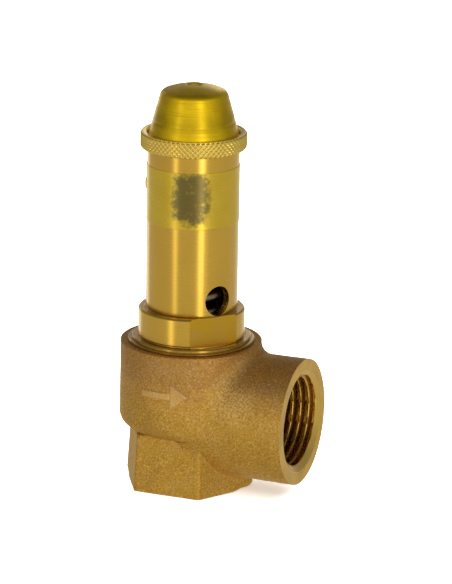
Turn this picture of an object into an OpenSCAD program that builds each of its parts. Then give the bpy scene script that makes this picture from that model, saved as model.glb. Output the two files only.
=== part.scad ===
// Pressure relief valve, angle pattern: hexagonal female inlet below, female outlet to the side,
// spring housing on top with a turning lifting knob and a domed cap on the spindle.
// Origin: centre of the inlet face. +Z along the spindle, +X out of the outlet.

/* [Pipe connections] */
// Crest radius of both female pipe threads (G 1/2)
thread_crest_r = 9.3155; // [9.3:0.0005:9.35]
// Radius of the countersink at a thread's mouth
thread_mouth_r = 10.8; // [10.5:0.1:11.2]
// Depth of the countersink
thread_mouth_h = 0.8; // [0.5:0.1:1.5]
// Length of the inlet thread
inlet_len = 11; // [10:0.5:11]
// Length of the outlet thread
outlet_len = 12; // [10:0.5:12]
// Width across flats of the inlet hexagon
hex_af = 25; // [24.5:0.5:26]
// Radius of the round on the two corners that lie on the parting plane
hex_round = 3; // [2:0.1:4]
// Height of the hexagon
hex_h = 12.4; // [12:0.1:12.8]

/* [Body casting] */
// Barrel radius near the bottom
barrel_r = 15.05; // [14.8:0.05:15.3]
// Barrel radius at the rim
rim_r = 14.9; // [14.7:0.05:15]
// Height of the rim
rim_z = 31; // [30.5:0.1:31.5]
// Radius of the round between barrel and hexagon
barrel_round = 3.1; // [2.5:0.1:3.8]
// Height of the outlet axis
outlet_z = 16.05; // [15.8:0.05:16.3]
// Distance of the outlet face from the spindle axis
outlet_x = 25.3; // [24.5:0.1:27]
// Radius of the outlet boss
outlet_boss_r = 13.35; // [13:0.05:13.6]
// Radius of the passage from the chamber to the outlet thread
port_r = 7.5; // [6:0.5:8]
// Radius of the valve chamber
chamber_r = 11.4; // [11:0.1:11.6]
// Height of the chamber floor
chamber_floor_z = 13; // [12.5:0.1:13.5]
// Height of the chamber top, a shoulder
chamber_top_z = 25.5; // [25.5:0.1:25.8]
// Radius of the seat's hole
seat_bore_r = 6.4; // [6:0.1:6.6]
// Outer radius of the seat's raised ring
seat_r = 7.9; // [7.6:0.1:8]
// Height of the seat
seat_z = 16; // [15.8:0.1:16]
// Radius of the bore that takes the bonnet
bonnet_bore_r = 12.55; // [12.5:0.05:12.7]
// Chamfer on the edges of the rim and of the outlet boss
body_chamfer = 0.3; // [0.1:0.1:0.5]
// Height of the raised flow arrow above the barrel
arrow_h = 0.4; // [0.2:0.1:0.6]
// Length of the raised flow arrow
arrow_len = 11; // [8:0.5:12]
// Height of the arrow's centre line
arrow_z = 22.6; // [21:0.2:24]
// Width of the arrow's bar
arrow_bar = 1.8; // [1.4:0.1:2.4]
// Length of the arrow's head
arrow_head = 4.2; // [3:0.1:5]
// Width of the arrow's head
arrow_head_w = 6.2; // [5:0.1:7]

/* [Bonnet] */
// Radius of the bonnet's threaded spigot
spigot_r = 12.5; // [12.4:0.05:12.5]
// Height of the spigot's lower end
spigot_z = 27; // [26.8:0.1:27.2]
// Radius of the flange's lower step
flange_r = 13.3; // [13:0.1:13.8]
// Radius of the flange's upper step
flange_step_r = 12.6; // [12.2:0.1:12.8]
// Thickness of each of the two steps
flange_t = 0.6; // [0.5:0.1:0.7]
// Radius of the wrench collar
collar_r = 11.2; // [11:0.1:11.6]
// Height of the wrench collar
collar_h = 6.1; // [5:0.1:6.5]
// Width across the collar's two flats
collar_af = 19.5; // [19.4:0.1:20]
// Direction that the flats face, from -Y towards +X
collar_az = 50; // [0:5:90]
// Outer radius of the tube
tube_r = 9.65; // [9.5:0.05:9.7]
// Bore radius of the tube
tube_bore_r = 7.9; // [7.85:0.05:8]
// Height of the tube's top
tube_top_z = 72.6; // [72:0.1:72.6]
// Radius of the vent hole
vent_r = 3; // [2:0.1:3.2]
// Height of the vent hole's axis
vent_z = 41.6; // [41.6:0.1:43]
// Direction of the vent hole, from -Y towards +X
vent_az = 57.5; // [45:0.5:70]
// Height of the label's lower edge
label_z = 57.2; // [56:0.1:58]
// Height of the label film
label_h = 12; // [8:0.5:13]
// Thickness of the label film
label_t = 0.1; // [0.05:0.01:0.15]
// Radius of the locking pin
pin_r = 1.3; // [1:0.1:1.5]
// Height of the locking pin's axis
pin_z = 64.7; // [64.4:0.1:65]
// Chamfer on the locking pin's head
pin_chamfer = 0.4; // [0.2:0.1:0.6]
// Clearance of the label round the pin
pin_clear = 0.05; // [0.02:0.01:0.1]
// Direction of the locking pin, from -Y towards +X
pin_az = -71; // [-90:1:-60]
// How far the pin's head stands out of the tube
pin_proud = 0.4; // [0.2:0.1:0.6]

/* [Knob and cap] */
// Radius of the knurled ring
knob_r = 11.15; // [10.8:0.05:11.4]
// Height of the ring's underside
knob_z = 72.7; // [72.7:0.1:72.9]
// Height of the ring
knob_h = 3.3; // [3:0.1:3.6]
// Chamfer on the ring's edges
knob_chamfer = 0.45; // [0.2:0.05:0.6]
// Radius of the recess in the knob's top
recess_r = 9.8; // [9.8:0.05:10]
// Height of the recess floor
recess_z = 74; // [73.8:0.1:74]
// Radius of the knob's threaded hub
hub_r = 7.85; // [7.8:0.01:7.87]
// Height of the hub's lower end
hub_z = 67.4; // [67:0.1:68]
// Outer radius of the lift washer
washer_r = 9.1; // [8.5:0.1:9.2]
// Bore radius of the lift washer
washer_in_r = 4.4; // [4:0.1:5]
// Thickness of the lift washer
washer_t = 0.8; // [0.6:0.1:0.8]
// Radius of the cap at its base
cap_r = 9.5; // [9.4:0.05:9.5]
// Height of the cap's base
cap_z = 75.05; // [75.05:0.05:75.1]
// Radius of the cap's cone at the shoulder
cap_top_r = 7.05; // [6.8:0.05:7.3]
// Height of the shoulder
cap_shoulder_z = 84; // [83.5:0.1:84.2]
// Height of the top of the roof
cap_apex_z = 85.95; // [85.9:0.05:86.2]
// Height of the roof's outer edge
cap_roof_z = 84.75; // [84.6:0.05:84.9]
// Wall thickness of the cap
cap_wall = 1.1; // [0.9:0.1:1.3]
// Radius of the boss under the roof
cap_boss_r = 3.4; // [3:0.1:3.6]
// Height of the boss's lower end
cap_boss_z = 80.2; // [80:0.1:81]
// Radius of the cap's shoulder
cap_shoulder_r = 0.75; // [0.5:0.05:1]
// Depth of the spindle tip's foot below the top of the roof
tip_foot = 1.3; // [1.2:0.05:1.4]
// Depth of the spindle tip's end below the top of the roof
tip_depth = 0.45; // [0.4:0.05:0.6]
// Radius of the small dimple on the roof
dimple_r = 1.75; // [1.6:0.05:1.9]

/* [Spindle and disc] */
// Spindle radius
spindle_r = 2; // [1.9:0.05:2]
// Height of the spindle's lower end
spindle_z = 12.2; // [12:0.1:12.5]
// Radius of the spindle's shoulder
shoulder_r = 3; // [2.8:0.1:3.2]
// Thickness of the spindle's shoulder
shoulder_t = 1.4; // [1:0.1:1.4]
// Radius of the spindle's riveted tip
tip_r = 1.4; // [1.2:0.05:1.5]
// Outer radius of the disc holder
holder_r = 9.3; // [9:0.1:9.5]
// Height of the disc holder's top
holder_top_z = 19.2; // [19:0.1:19.4]
// Radius of the disc seal
seal_r = 8.3; // [8.2:0.05:8.4]
// Thickness of the disc seal
seal_t = 1.4; // [1.2:0.1:1.6]
// Gap that keeps the closed seal just off the seat
seat_gap = 0.02; // [0.01:0.01:0.05]
// How far the holder's lip reaches below the seal face
lip_h = 0.8; // [0.4:0.1:1]
// Radius of the washer under the seal
seal_washer_r = 4.6; // [4.2:0.1:5]
// Thickness of the washer under the seal
seal_washer_t = 0.7; // [0.5:0.1:0.8]
// Width across flats of the two small nuts
nut_af = 7; // [6.5:0.5:7.5]
// Thickness of the seal nut
seal_nut_t = 2.4; // [2:0.1:2.6]
// Thickness of the cap nut
cap_nut_t = 3; // [2.2:0.1:3.2]
// Groove radius of the spindle clip
clip_in_r = 1.6; // [1.4:0.1:1.7]
// Outer radius of the spindle clip
clip_r = 3.6; // [3.2:0.1:4]
// Thickness of the spindle clip
clip_t = 0.7; // [0.5:0.1:0.8]
// Opening of the clip
clip_gap = 2.6; // [2:0.1:3]

/* [Guide bush] */
// Radius of the bush's flange
bush_flange_r = 12.3; // [12:0.1:12.4]
// Radius of the bush's neck
bush_neck_r = 5; // [4.6:0.1:5.5]
// Height of the neck's top
bush_top_z = 31.4; // [30.6:0.1:31.6]
// Running clearance of the spindle in the bush
bush_clear = 0.05; // [0.03:0.01:0.08]
// Height of the seal groove's middle
bush_groove_z = 29; // [28.8:0.1:29.4]
// Cross-section radius of the spindle seal ring
spindle_ring_r = 0.5; // [0.45:0.01:0.55]
// Half height of the grooves that hold the two seal rings
ring_groove_h = 0.7; // [0.6:0.05:0.8]
// Cross-section radius of the bonnet seal ring
bonnet_ring_r = 0.52; // [0.45:0.01:0.52]
// Height of the bonnet seal ring
bonnet_ring_z = 29.4; // [29:0.1:29.8]

/* [Spring] */
// Height of the spring's lower end
spring_z0 = 35.6; // [35.4:0.1:36]
// Height of the spring's upper end
spring_z1 = 57.2; // [57:0.1:57.4]
// Wire diameter
wire_d = 1.8; // [1.4:0.1:1.9]
// Mean coil radius
coil_r = 6; // [5.8:0.1:6]
// Number of turns, with one closed turn at each end
coil_turns = 6.5; // [6:0.5:7]
// Radius of both spring plates
plate_r = 7.4; // [7.2:0.1:7.5]
// Flange thickness of the spring plates
plate_t = 1.6; // [1.4:0.1:1.6]
// Radius of the plates' centring hubs
plate_hub_r = 4.7; // [4.4:0.1:4.8]
// Length of the plates' centring hubs
plate_hub_h = 1.4; // [1:0.1:1.6]
// Height of the adjusting screw
screw_h = 4.5; // [4:0.1:4.5]
// Height of the lock nut
lock_h = 2.4; // [2:0.1:2.4]
// Gap between adjusting screw and lock nut
lock_gap = 0.1; // [0.05:0.05:0.1]
// Clearance radius for the spindle in plates, screw, nut and knob
pass_r = 2.35; // [2.3:0.05:2.5]
// Width of the wrench slots in screw and nut
slot_w = 2; // [1.5:0.1:2.4]
// Depth of the wrench slots
slot_d = 1; // [0.6:0.1:1.2]

/* [Hidden] */
$fn = 96;
// Extra length by which a cutting shape passes a face
over = 1;
// Number of straight pieces in a turned round
round_steps = 6;
// Heights that follow from the sizes above
seal_z = seat_z + seat_gap;
seal_washer_z = seal_z - seal_washer_t;
seal_nut_z = seal_washer_z - seal_nut_t;
collar_z = rim_z + 2 * flange_t;
collar_top_z = collar_z + collar_h;
knob_top_z = knob_z + knob_h;
washer_z = recess_z + seat_gap;
plate_z = spring_z0 - plate_t;
clip_z = plate_z - clip_t;
upper_plate_top_z = spring_z1 + plate_t;
lock_z = upper_plate_top_z + screw_h + lock_gap;
cap_nut_z = cap_boss_z - cap_nut_t;
tip_z = cap_apex_z - tip_foot;
tip_top_z = cap_apex_z - tip_depth;
port_x = outlet_x - outlet_len;
// Sides of the wire's cross-section and rings per turn of the spring
wire_sides = 8;
turn_rings = 24;
// Sides of a seal ring's cross-section
ring_sides = 32;

// Points along a round of radius r about (x, z), from angle a0 to a1
function round_pts(x, z, r, a0, a1, n = round_steps) =
    [for (i = [0:n]) [x + r * cos(a0 + (a1 - a0) * i / n), z + r * sin(a0 + (a1 - a0) * i / n)]];

// Upright ring from z0 to z1
module ring(r_out, r_in, z0, z1) {
    translate([0, 0, z0])
        difference() {
            cylinder(r = r_out, h = z1 - z0);
            translate([0, 0, -over])
                cylinder(r = r_in, h = z1 - z0 + 2 * over);
        }
}

// Seal ring of mean radius r_mean and section radius r_sec
module seal_ring(r_mean, r_sec, z) {
    translate([0, 0, z])
        rotate_extrude()
            translate([r_mean, 0])
                circle(r = r_sec, $fn = ring_sides);
}

// Hexagon prism whose two corners on the X axis have rounds of radius r
module parted_hex(af, r, h) {
    centre_x = (af / 2 - r) / cos(30);
    flat_x = centre_x + r * cos(30);
    intersection() {
        cylinder(r = af / sqrt(3), h = h, $fn = 6);
        translate([-flat_x, -af, 0])
            cube([2 * flat_x, 2 * af, h]);
    }
    for (side = [-1, 1])
        translate([side * centre_x, 0, 0])
            cylinder(r = r, h = h);
}

// Small hexagon nut on the spindle
module spindle_nut(z, h) {
    translate([0, 0, z])
        difference() {
            cylinder(r = nut_af / sqrt(3), h = h, $fn = 6);
            translate([0, 0, -over])
                cylinder(r = spindle_r, h = h + 2 * over);
        }
}

// Threaded socket cut along +Z from its mouth at z = 0, with the countersink
module socket_cut(len) {
    translate([0, 0, -over])
        cylinder(r = thread_crest_r, h = len + over);
    translate([0, 0, -over])
        cylinder(r = thread_mouth_r, h = over);
    cylinder(r1 = thread_mouth_r, r2 = thread_crest_r, h = thread_mouth_h);
}

// Outline of the barrel, turned about the spindle axis
module barrel() {
    rotate_extrude()
        polygon(concat(
            [[0, hex_h - over], [barrel_r - barrel_round, hex_h - over]],
            round_pts(barrel_r - barrel_round, hex_h + barrel_round, barrel_round, -90, 0),
            [[rim_r, rim_z - body_chamfer], [rim_r - body_chamfer, rim_z], [0, rim_z]]
        ));
}

// Raised arrow on the -Y side, pointing towards the outlet
module flow_arrow() {
    half = arrow_len / 2;
    neck = half - arrow_head;
    bar = arrow_bar / 2;
    barb = arrow_head_w / 2;
    intersection() {
        translate([0, 0, arrow_z])
            rotate([90, 0, 0])
                linear_extrude(height = barrel_r + over)
                    polygon([
                        [-half, -bar], [neck, -bar], [neck, -barb], [half, 0],
                        [neck, barb], [neck, bar], [-half, bar]
                    ]);
        cylinder(r = rim_r + arrow_h, h = rim_z);
    }
}

module outlet_boss() {
    translate([0, 0, outlet_z])
        rotate([0, 90, 0])
            rotate_extrude()
                polygon([
                    [0, 0], [outlet_boss_r, 0], [outlet_boss_r, outlet_x - body_chamfer],
                    [outlet_boss_r - body_chamfer, outlet_x], [0, outlet_x]
                ]);
}

// Passage from the chamber into the outlet thread, flat along the chamber floor
module outlet_port() {
    intersection() {
        translate([0, 0, outlet_z])
            rotate([0, 90, 0])
                cylinder(r = port_r, h = port_x + over);
        translate([0, -port_r, chamber_floor_z])
            cube([outlet_x, 2 * port_r, 2 * port_r]);
    }
}

module body_casting() {
    color([0.60, 0.44, 0.20])
        difference() {
            union() {
                parted_hex(hex_af, hex_round, hex_h);
                barrel();
                outlet_boss();
                flow_arrow();
            }
            socket_cut(inlet_len);
            cylinder(r = seat_bore_r, h = seat_z + over);
            difference() {
                translate([0, 0, chamber_floor_z])
                    cylinder(r = chamber_r, h = chamber_top_z - chamber_floor_z + over);
                cylinder(r = seat_r, h = seat_z);
            }
            translate([0, 0, chamber_top_z])
                cylinder(r = bonnet_bore_r, h = rim_z);
            difference() {
                outlet_port();
                cylinder(r = seat_r, h = seat_z);
            }
            translate([outlet_x, 0, outlet_z])
                rotate([0, -90, 0])
                    socket_cut(outlet_len);
        }
}

// Two flats, cut from a collar that spans z0 to z1
module collar_flats(z0, z1) {
    rotate([0, 0, collar_az])
        for (side = [-1, 1])
            translate([-collar_r - over, side * (collar_af / 2 + collar_r) - collar_r, z0])
                cube([2 * (collar_r + over), 2 * collar_r, z1 - z0]);
}

module bonnet() {
    color([0.72, 0.58, 0.26])
        difference() {
            union() {
                translate([0, 0, spigot_z])
                    cylinder(r = spigot_r, h = rim_z - spigot_z);
                translate([0, 0, rim_z])
                    cylinder(r = flange_r, h = flange_t);
                translate([0, 0, rim_z + flange_t])
                    cylinder(r = flange_step_r, h = flange_t);
                difference() {
                    translate([0, 0, collar_z])
                        cylinder(r = collar_r, h = collar_h);
                    collar_flats(collar_z, collar_top_z + over);
                }
                translate([0, 0, collar_top_z])
                    cylinder(r = tube_r, h = tube_top_z - collar_top_z);
            }
            translate([0, 0, spigot_z - over])
                cylinder(r = tube_bore_r, h = tube_top_z);
            ring(spigot_r + over, spigot_r - 2 * bonnet_ring_r, bonnet_ring_z - ring_groove_h, bonnet_ring_z + ring_groove_h);
            rotate([0, 0, vent_az - 90])
                translate([0, 0, vent_z])
                    rotate([0, 90, 0])
                        cylinder(r = vent_r, h = collar_r + over);
            rotate([0, 0, pin_az - 90])
                translate([0, 0, pin_z])
                    rotate([0, 90, 0])
                        cylinder(r = pin_r, h = collar_r + over);
        }
}

module bonnet_seal_ring() {
    color([0.08, 0.08, 0.08])
        seal_ring(spigot_r - bonnet_ring_r, bonnet_ring_r, bonnet_ring_z);
}

module guide_bush() {
    bore = spindle_r + bush_clear;
    color([0.76, 0.62, 0.30])
        difference() {
            union() {
                translate([0, 0, chamber_top_z])
                    cylinder(r = bush_flange_r, h = spigot_z - chamber_top_z);
                translate([0, 0, spigot_z])
                    cylinder(r = bush_neck_r, h = bush_top_z - spigot_z);
            }
            cylinder(r = bore, h = bush_top_z + over);
            ring(bore + 2 * spindle_ring_r, bore - over, bush_groove_z - ring_groove_h, bush_groove_z + ring_groove_h);
        }
}

module spindle_seal_ring() {
    color([0.08, 0.08, 0.08])
        seal_ring(spindle_r + bush_clear + spindle_ring_r, spindle_ring_r, bush_groove_z);
}

module disc_holder() {
    color([0.74, 0.60, 0.28])
        difference() {
            translate([0, 0, seal_z - lip_h])
                cylinder(r = holder_r, h = holder_top_z - seal_z + lip_h);
            translate([0, 0, seal_z - lip_h - over])
                cylinder(r = seal_r, h = lip_h + over + seal_t);
            cylinder(r = spindle_r, h = holder_top_z + over);
        }
}

module disc_seal() {
    color([0.10, 0.10, 0.11])
        ring(seal_r, spindle_r, seal_z, seal_z + seal_t);
}

module seal_washer() {
    color([0.66, 0.66, 0.68])
        ring(seal_washer_r, spindle_r, seal_washer_z, seal_z);
}

module seal_nut() {
    color([0.66, 0.66, 0.68])
        spindle_nut(seal_nut_z, seal_nut_t);
}

// Spindle with its shoulder, clip groove and riveted tip
module spindle() {
    color([0.70, 0.70, 0.72])
        difference() {
            union() {
                translate([0, 0, spindle_z])
                    cylinder(r = spindle_r, h = tip_z - spindle_z);
                translate([0, 0, holder_top_z])
                    cylinder(r = shoulder_r, h = shoulder_t);
                translate([0, 0, tip_z])
                    cylinder(r = tip_r, h = tip_top_z - tip_z);
            }
            ring(shoulder_r, clip_in_r, clip_z, clip_z + clip_t);
        }
}

module spindle_clip() {
    color([0.50, 0.50, 0.52])
        difference() {
            ring(clip_r, clip_in_r, clip_z, clip_z + clip_t);
            translate([0, -clip_gap / 2, clip_z - over])
                cube([clip_r + over, clip_gap, clip_t + 2 * over]);
        }
}

// Flanged plate that centres one end of the spring; dir is the side its hub points to
module spring_plate(z, dir, bore) {
    hub_z0 = dir > 0 ? z + plate_t : z - plate_hub_h;
    difference() {
        union() {
            translate([0, 0, z])
                cylinder(r = plate_r, h = plate_t);
            translate([0, 0, hub_z0])
                cylinder(r = plate_hub_r, h = plate_hub_h);
        }
        translate([0, 0, z - plate_hub_h - over])
            cylinder(r = bore, h = plate_t + 2 * plate_hub_h + 2 * over);
    }
}

module lower_spring_plate() {
    color([0.70, 0.56, 0.26])
        spring_plate(plate_z, 1, spindle_r);
}

module upper_spring_plate() {
    color([0.70, 0.56, 0.26])
        spring_plate(spring_z1, -1, pass_r);
}

// Height of the wire's centre after u turns
function coil_z(u) =
    let (top = spring_z1 - wire_d / 2, low = spring_z0 + wire_d / 2)
    u < 1 ? low + wire_d * u :
    u > coil_turns - 1 ? top - wire_d * (coil_turns - u) :
    low + wire_d + (u - 1) * (top - low - 2 * wire_d) / (coil_turns - 2);

module spring() {
    rings = coil_turns * turn_rings;
    pts = [for (i = [0:rings], j = [0:wire_sides - 1])
        let (u = i / turn_rings, a = 360 * u, b = 360 * j / wire_sides,
            rr = coil_r + wire_d / 2 * cos(b))
        [rr * cos(a), rr * sin(a), coil_z(u) + wire_d / 2 * sin(b)]];
    sides = [for (i = [0:rings - 1], j = [0:wire_sides - 1])
        let (k = (j + 1) % wire_sides)
        [i * wire_sides + j, (i + 1) * wire_sides + j, (i + 1) * wire_sides + k, i * wire_sides + k]];
    start = [[for (j = [0:wire_sides - 1]) j]];
    finish = [[for (j = [0:wire_sides - 1]) rings * wire_sides + wire_sides - 1 - j]];
    color([0.62, 0.62, 0.64])
        polyhedron(points = pts, faces = concat(sides, start, finish));
}

// Round threaded ring with two wrench slots across its top
module slotted_ring(r_out, z0, h) {
    difference() {
        ring(r_out, pass_r, z0, z0 + h);
        translate([-r_out - over, -slot_w / 2, z0 + h - slot_d])
            cube([2 * (r_out + over), slot_w, slot_d + over]);
        translate([-slot_w / 2, -r_out - over, z0 + h - slot_d])
            cube([slot_w, 2 * (r_out + over), slot_d + over]);
    }
}

module adjusting_screw() {
    color([0.74, 0.60, 0.28])
        slotted_ring(hub_r, upper_plate_top_z, screw_h);
}

module lock_nut() {
    color([0.76, 0.62, 0.30])
        slotted_ring(hub_r, lock_z, lock_h);
}

module locking_pin() {
    color([0.66, 0.50, 0.22])
        rotate([0, 0, pin_az - 90])
            translate([hub_r, 0, pin_z])
                rotate([0, 90, 0])
                    rotate_extrude()
                        polygon(concat(
                            [[0, 0], [pin_r, 0], [pin_r, tube_r - hub_r + label_t]],
                            [[pin_r - pin_chamfer, tube_r - hub_r + pin_proud], [0, tube_r - hub_r + pin_proud]]
                        ));
}

module label_film() {
    color([0.86, 0.76, 0.36, 0.6])
        difference() {
            ring(tube_r + label_t, tube_r, label_z, label_z + label_h);
            rotate([0, 0, pin_az - 90])
                translate([0, 0, pin_z])
                    rotate([0, 90, 0])
                        cylinder(r = pin_r + pin_clear, h = collar_r + over);
        }
}

// Knob: knurled ring with a recess on top and a threaded hub below
module lifting_knob() {
    c = knob_chamfer;
    color([0.74, 0.60, 0.28])
        rotate_extrude()
            polygon([
                [pass_r, hub_z], [hub_r, hub_z], [hub_r, knob_z], [knob_r - c, knob_z],
                [knob_r, knob_z + c], [knob_r, knob_top_z - c], [knob_r - c, knob_top_z],
                [recess_r, knob_top_z], [recess_r, recess_z], [pass_r, recess_z]
            ]);
}

module lift_washer() {
    color([0.60, 0.60, 0.62])
        ring(washer_r, washer_in_r, washer_z, washer_z + washer_t);
}

// Domed cap: conical side, rounded shoulder, low roof, boss for the spindle
module cap() {
    slope = (cap_r - cap_top_r) / (cap_shoulder_z - cap_z);
    edge_r = cap_top_r - cap_shoulder_r;
    edge_rise = cap_roof_z - cap_shoulder_z;
    roof = [for (i = [0:round_steps])
        let (f = 1 - i / round_steps, r = dimple_r + (edge_r - dimple_r) * f)
        [r, cap_apex_z - (cap_apex_z - cap_roof_z) * pow(r / edge_r, 2)]];
    shoulder = [for (i = [1:round_steps - 1])
        let (a = 90 * i / round_steps)
        [edge_r + cap_shoulder_r * cos(a), cap_shoulder_z + edge_rise * sin(a)]];
    color([0.80, 0.64, 0.16])
        rotate_extrude()
            polygon(concat(
                [[cap_r - cap_wall, cap_z], [cap_r, cap_z], [cap_top_r, cap_shoulder_z]],
                shoulder,
                roof,
                [[tip_r, tip_top_z], [tip_r, tip_z], [spindle_r, tip_z]],
                [[spindle_r, cap_boss_z], [cap_boss_r, cap_boss_z], [cap_boss_r, cap_roof_z - cap_wall]],
                [[edge_r - cap_wall / 2, cap_roof_z - cap_wall]],
                [[cap_top_r - cap_wall + slope, cap_shoulder_z - cap_wall - slope]]
            ));
}

module cap_nut() {
    color([0.66, 0.66, 0.68])
        spindle_nut(cap_nut_z, cap_nut_t);
}

body_casting();
bonnet();
bonnet_seal_ring();
guide_bush();
spindle_seal_ring();
disc_holder();
disc_seal();
seal_washer();
seal_nut();
spindle();
spindle_clip();
lower_spring_plate();
spring();
upper_spring_plate();
adjusting_screw();
lock_nut();
locking_pin();
label_film();
lifting_knob();
lift_washer();
cap();
cap_nut();
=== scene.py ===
import math
import bpy
import bmesh
import numpy as np
from mathutils import Matrix, Vector


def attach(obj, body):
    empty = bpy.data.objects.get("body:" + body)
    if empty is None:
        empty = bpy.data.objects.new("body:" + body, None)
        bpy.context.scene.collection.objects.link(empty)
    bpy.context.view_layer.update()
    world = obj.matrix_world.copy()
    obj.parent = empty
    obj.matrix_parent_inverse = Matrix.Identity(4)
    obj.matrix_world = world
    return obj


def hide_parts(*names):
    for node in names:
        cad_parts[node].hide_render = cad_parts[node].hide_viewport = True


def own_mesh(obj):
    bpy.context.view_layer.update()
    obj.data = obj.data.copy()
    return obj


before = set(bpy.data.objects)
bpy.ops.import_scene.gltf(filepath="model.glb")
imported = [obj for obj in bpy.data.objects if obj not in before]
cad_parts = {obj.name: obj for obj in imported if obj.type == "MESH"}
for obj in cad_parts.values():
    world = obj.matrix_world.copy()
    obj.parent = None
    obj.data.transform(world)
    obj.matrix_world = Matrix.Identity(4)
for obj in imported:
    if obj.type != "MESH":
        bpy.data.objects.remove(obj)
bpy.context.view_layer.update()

MM = 0.001

# Sizes in millimetres. The shapes that the CAD has too use its sizes, but the hexagon is drafted only here.
CREST_R, ROOT_R, PITCH = 9.3155, 10.4775, 1.814
INLET_LEN, OUTLET_LEN = 11.0, 12.0
MOUTH_R, MOUTH_H = 10.8, 0.8
HEX_HALF, HEX_H, HEX_DRAFT, HEX_ROUND, HEX_FOOT = 12.8, 12.4, 0.055, 3.0, 1.6
BARREL_R, RIM_R, RIM_Z, BARREL_ROUND = 15.05, 14.9, 31.0, 3.1
OUTLET_Z, OUTLET_X, BOSS_R = 16.05, 25.3, 13.35
BOSS_MID, BOSS_HALF, BOSS_FILLET, HEX_FILLET = 17, 13.5, 2.3, 0.35
# height and bend of the painted shade line at the barrel's foot
CREASE_Z, CREASE_BEND = 12.5, 0.0125
ARROW_LEN, ARROW_BAR, ARROW_HEAD, ARROW_HALF_HEAD = 11.0, 1.8, 4.2, 3.1
ARROW_R, ARROW_Z = 15.28, 22.6
PORT_R, CHAMBER_R, FLOOR_Z, SHOULDER_Z = 7.5, 11.4, 13.0, 25.5
SEAT_BORE_R, SEAT_R, SEAT_Z, BONNET_BORE_R = 6.4, 7.9, 16.0, 12.55
TUBE_R, TUBE_BORE_R, TUBE_TOP = 9.65, 7.9, 72.6
COLLAR_R, COLLAR_Z, COLLAR_TOP, COLLAR_HALF, COLLAR_AZ = 11.2, 32.2, 38.3, 9.75, 50.0
VENT_R, VENT_Z, VENT_AZ = 3.0, 41.6, 57.5
PIN_R, PIN_Z, PIN_AZ = 1.3, 64.7, -71.0
# heights between which the bonnet's painted shade is laid, and the cap's height range
SHADE_Z, CAP_Z = (30.0, 40.0), (75.0, 86.0)
LABEL_Z, LABEL_H, LABEL_T = 57.2, 12.0, 0.1
# centre and reach of the painted highlight on the shoulder
GLINT_CENTRE, GLINT_REACH = (14.6, -11.4, 22.8), (1.2, 6.2)
STAIN_AZ, STAIN_HALF_ANGLE, STAIN_Z, STAIN_HALF_H = 20.0, 24.0, 63.8, 5.6
SPRING_LOW, SPRING_TOP, WIRE_D, COIL_R, TURNS = 35.6, 57.2, 1.8, 6.0, 6.5


# ---------- mesh tools ----------

def smooth_by_angle(mesh, degrees=32):
    mesh.shade_smooth()
    mesh.set_sharp_from_angle(angle=math.radians(degrees))


def piece_from(name, verts, faces, materials, degrees=32):
    """A mesh object from points in millimetres."""
    mesh = bpy.data.meshes.new(name)
    mesh.from_pydata((np.asarray(verts, float) * MM).tolist(), [], faces)
    for m in materials:
        mesh.materials.append(m)
    mesh.validate()
    bm = bmesh.new()
    bm.from_mesh(mesh)
    bmesh.ops.remove_doubles(bm, verts=bm.verts, dist=1e-8)
    bmesh.ops.recalc_face_normals(bm, faces=bm.faces)
    bm.to_mesh(mesh)
    bm.free()
    smooth_by_angle(mesh, degrees)
    obj = bpy.data.objects.new(name, mesh)
    bpy.context.scene.collection.objects.link(obj)
    return obj


def turned(profile, segments, closed=True, shift=None):
    """Points and faces of a profile [(r, z)] turned about Z; shift(theta, r, z) moves the radius."""
    prof = np.asarray(profile, float)
    theta = np.arange(segments) * 2 * math.pi / segments
    r = np.repeat(prof[None, :, 0], segments, 0)
    z = np.repeat(prof[None, :, 1], segments, 0)
    if shift is not None:
        r = r + shift(theta[:, None], r, z)
    verts = np.stack([r * np.cos(theta)[:, None], r * np.sin(theta)[:, None], z], -1).reshape(-1, 3)
    n = len(prof)
    faces = []
    for i in range(segments):
        k = (i + 1) % segments
        for j in range(n if closed else n - 1):
            l = (j + 1) % n
            faces.append((i * n + j, k * n + j, k * n + l, i * n + l))
    return verts, faces


def fine(profile, step):
    """The same profile with long stretches cut into steps."""
    out = []
    for (r0, z0), (r1, z1) in zip(profile, profile[1:] + profile[:1]):
        n = max(1, math.ceil(math.hypot(r1 - r0, z1 - z0) / step))
        out += [(r0 + (r1 - r0) * i / n, z0 + (z1 - z0) * i / n) for i in range(n)]
    return out


def turned_piece(name, profile, segments, materials, shift=None, degrees=32):
    verts, faces = turned(profile, segments, shift=shift)
    return piece_from(name, verts, faces, materials, degrees)


def cut(obj, cutter):
    """Takes the cutter's volume out of obj; the cut faces keep the cutter's material."""
    mod = obj.modifiers.new("cut", "BOOLEAN")
    mod.operation = "DIFFERENCE"
    mod.solver = "EXACT"
    mod.material_mode = "TRANSFER"
    mod.object = cutter
    bpy.context.view_layer.update()
    dg = bpy.context.evaluated_depsgraph_get()
    mesh = bpy.data.meshes.new_from_object(obj.evaluated_get(dg))
    obj.modifiers.clear()
    old = obj.data
    obj.data = mesh
    mesh.name = old.name
    bpy.data.meshes.remove(old)
    bpy.data.objects.remove(cutter)
    return obj


def direction(azimuth):
    """Unit vector at an azimuth measured from -Y towards +X."""
    a = math.radians(azimuth)
    return Vector((math.sin(a), -math.cos(a), 0))


def aim_along(obj, azimuth, height):
    """Turns an upright cutter so that its +Z points out at an azimuth, from the spindle axis."""
    turn = Vector((0, 0, 1)).rotation_difference(direction(azimuth)).to_matrix().to_4x4()
    obj.data.transform(Matrix.Translation((0, 0, height * MM)) @ turn)
    return obj


# ---------- shader tools ----------

def shader(name):
    mat = bpy.data.materials.new(name)
    mat.use_nodes = True
    tree = mat.node_tree
    bsdf = tree.nodes["Principled BSDF"]
    coord = tree.nodes.new("ShaderNodeTexCoord")
    return mat, tree, bsdf, coord.outputs["Object"]


def mapped(tree, vector, scale):
    node = tree.nodes.new("ShaderNodeMapping")
    node.inputs["Scale"].default_value = scale
    tree.links.new(vector, node.inputs["Vector"])
    return node.outputs["Vector"]


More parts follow.
